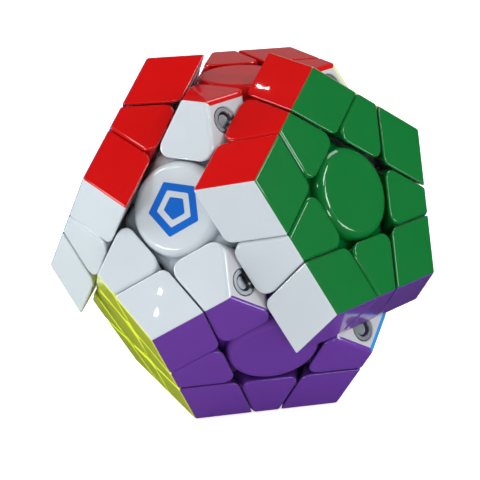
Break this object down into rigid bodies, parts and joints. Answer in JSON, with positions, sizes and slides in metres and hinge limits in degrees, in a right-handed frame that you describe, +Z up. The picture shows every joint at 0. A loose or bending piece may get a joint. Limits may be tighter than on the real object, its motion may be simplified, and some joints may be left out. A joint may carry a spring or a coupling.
{
  "type": "dodecahedron twisty puzzle",
  "caption": "Dodecahedron puzzle of separate coloured centres, edges and corners round a core, whose layers turn about the faces.",
  "frame": {"origin": "middle of the outer face of the orange centre, which the puzzle stands on", "axes": "+Z up through the middle of the puzzle to the red face, the white face leaning up towards -Y, the green face to the right at +X"},
  "size_m": [0.0919, 0.0908, 0.0794],
  "materials": {
    "red_plastic": "polished",
    "white_plastic": "polished",
    "green_plastic": "polished",
    "cream_plastic": "polished",
    "pink_plastic": "polished",
    "blue_plastic": "polished",
    "purple_plastic": "polished",
    "sky_plastic": "polished",
    "grey_plastic": "polished",
    "lime_plastic": "polished",
    "yellow_plastic": "polished",
    "orange_plastic": "polished",
    "inner_white_plastic": "satin",
    "core_plastic": "satin",
    "steel": "satin"
  },
  "bodies": {
    "root": {"centre_cream": "cream_plastic", "centre_lime": "lime_plastic", "centre_orange": "orange_plastic", "centre_pink": "pink_plastic", "centre_purple": "purple_plastic", "centre_red": "red_plastic", "centre_sky": "sky_plastic", "centre_white": "white_plastic", "centre_yellow": "yellow_plastic", "core_spider": "core_plastic", "corner_purple_sky_orange": "purple_plastic", "corner_purple_yellow_orange": "purple_plastic", "corner_red_cream_pink": "red_plastic", "corner_white_purple_yellow": "white_plastic", "corner_yellow_lime_orange_with_edges": "yellow_plastic", "edge_cream_pink": "cream_plastic", "edge_cream_sky": "cream_plastic", "edge_pink_lime": "pink_plastic", "edge_purple_orange": "purple_plastic", "edge_purple_sky": "purple_plastic", "edge_purple_yellow": "purple_plastic", "edge_red_cream": "red_plastic", "edge_red_pink": "red_plastic", "edge_red_white": "red_plastic", "edge_sky_orange": "sky_plastic", "edge_white_purple": "white_plastic", "edge_white_yellow": "white_plastic", "screw_blue": "steel", "screw_green": "steel", "screw_grey": "steel", "spring_blue": "steel", "spring_green": "steel", "spring_grey": "steel"},
    "green_layer": {"centre_base_green": "green_plastic", "centre_cap_green": "green_plastic", "corner_green_cream_sky": "green_plastic", "corner_green_purple_sky": "green_plastic", "corner_red_green_cream": "red_plastic", "corner_red_white_green": "red_plastic", "corner_white_green_purple": "white_plastic", "edge_green_cream": "green_plastic", "edge_green_purple": "green_plastic", "edge_green_sky": "green_plastic", "edge_red_green": "red_plastic", "edge_white_green": "white_plastic"},
    "blue_layer": {"centre_base_blue": "blue_plastic", "centre_cap_blue": "blue_plastic", "corner_blue_lime_yellow": "blue_plastic", "corner_pink_blue_lime": "pink_plastic", "corner_red_pink_blue": "red_plastic", "corner_red_white_blue": "red_plastic", "corner_white_blue_yellow": "white_plastic", "edge_blue_lime": "blue_plastic", "edge_blue_yellow": "blue_plastic", "edge_pink_blue": "pink_plastic", "edge_red_blue": "red_plastic", "edge_white_blue": "white_plastic"},
    "grey_layer": {"centre_base_grey": "grey_plastic", "centre_cap_grey": "grey_plastic", "grey_layer_ring": "grey_plastic"}
  },
  "joints": [
    {"name": "green_turn", "type": "hinge", "parent": "root", "child": "green_layer", "pos_m": [0, 0, 0.03675], "axis": [0.8507, -0.2764, 0.4472], "continuous": true},
    {"name": "blue_turn", "type": "hinge", "parent": "root", "child": "blue_layer", "pos_m": [0, 0, 0.03675], "axis": [-0.8507, -0.2764, 0.4472], "continuous": true},
    {"name": "grey_turn", "type": "hinge", "parent": "root", "child": "grey_layer", "pos_m": [0, 0, 0.03675], "axis": [0, 0.8944, -0.4472], "continuous": true}
  ]
}
